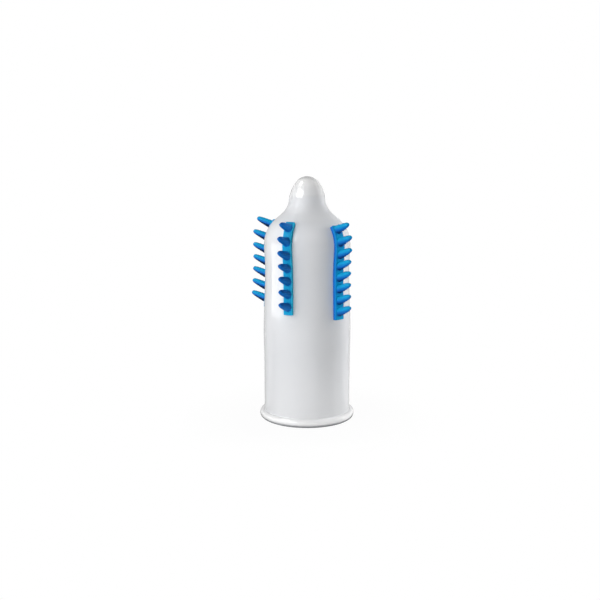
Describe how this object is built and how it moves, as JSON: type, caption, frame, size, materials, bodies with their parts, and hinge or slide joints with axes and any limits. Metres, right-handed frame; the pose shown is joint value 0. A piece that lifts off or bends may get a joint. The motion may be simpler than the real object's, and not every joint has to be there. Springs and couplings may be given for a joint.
{
  "type": "textured condom",
  "caption": "Thin closed-end sheath with a rolled rim at its open mouth, a rounded shoulder, a reservoir tip and soft spiked strips bonded along its sides.",
  "frame": {"origin": "centre of the open mouth, in the plane that the rolled rim stands on", "axes": "+Z along the sheath from its mouth to its closed tip; -Y faces the front, between the front strip and the right strip; +X is to the right of the front"},
  "size_m": [0.0413, 0.0462, 0.0959],
  "materials": {
    "film": "glossy opaque white dipped latex film, smooth, with a soft clear reflection",
    "strip": "bright blue soft moulded rubber, satin, with rounded edges"
  },
  "bodies": {
    "root": {"sheath": "film", "front_spike_strip": "strip", "right_spike_strip": "strip", "left_spike_strip": "strip", "rear_spike_strip": "strip"}
  },
  "joints": []
}
